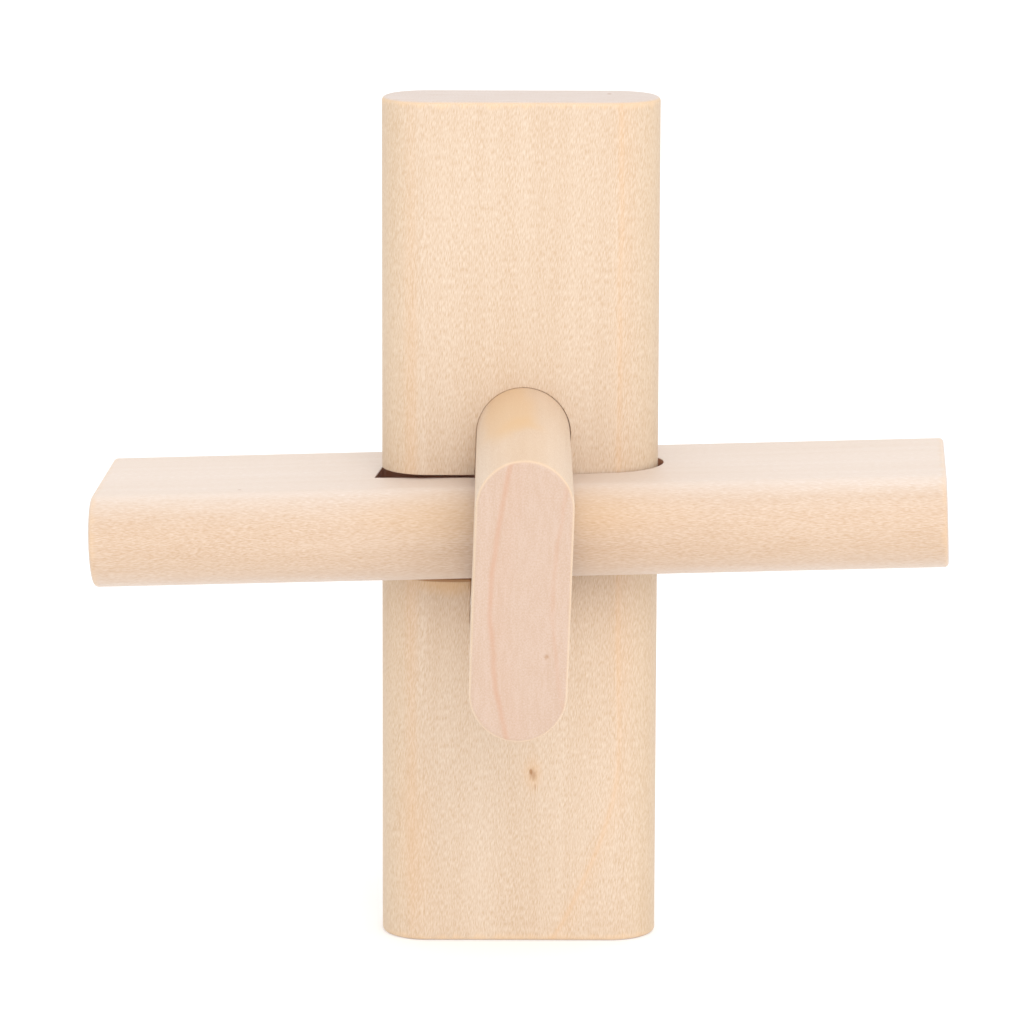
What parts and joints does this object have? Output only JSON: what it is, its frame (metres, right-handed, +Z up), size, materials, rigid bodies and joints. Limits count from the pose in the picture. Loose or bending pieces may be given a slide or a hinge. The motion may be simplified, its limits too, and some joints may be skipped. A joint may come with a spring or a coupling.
{
  "type": "wooden burr puzzle",
  "caption": "Interlocking wooden burr puzzle: flat round-edged boards cross at right angles, each passing through the window of the next, and one board slides as the key.",
  "frame": {"origin": "middle of the upright board's lower end face, which the puzzle stands on", "axes": "+X along the cross board, in the direction that it slides; +Y along the through board, away from its front end; +Z up the upright board"},
  "size_m": [0.0807, 0.08, 0.08],
  "materials": {
    "upright_wood": "sanded, unvarnished",
    "cross_wood": "sanded, unvarnished",
    "through_wood": "sanded, unvarnished"
  },
  "bodies": {
    "upright": {"upright_board": "upright_wood"},
    "cross": {"cross_board": "cross_wood"},
    "through": {"through_board": "through_wood"}
  },
  "joints": [
    {"name": "cross_slide", "type": "slide", "parent": "upright", "child": "cross", "axis": [0.9993, 0, 0.0385], "range_m": [-0.0004, 0.0084]},
    {"name": "through_slide", "type": "slide", "parent": "upright", "child": "through", "axis": [0, 1, 0], "range_m": [-0.0004, 0.0014]}
  ]
}
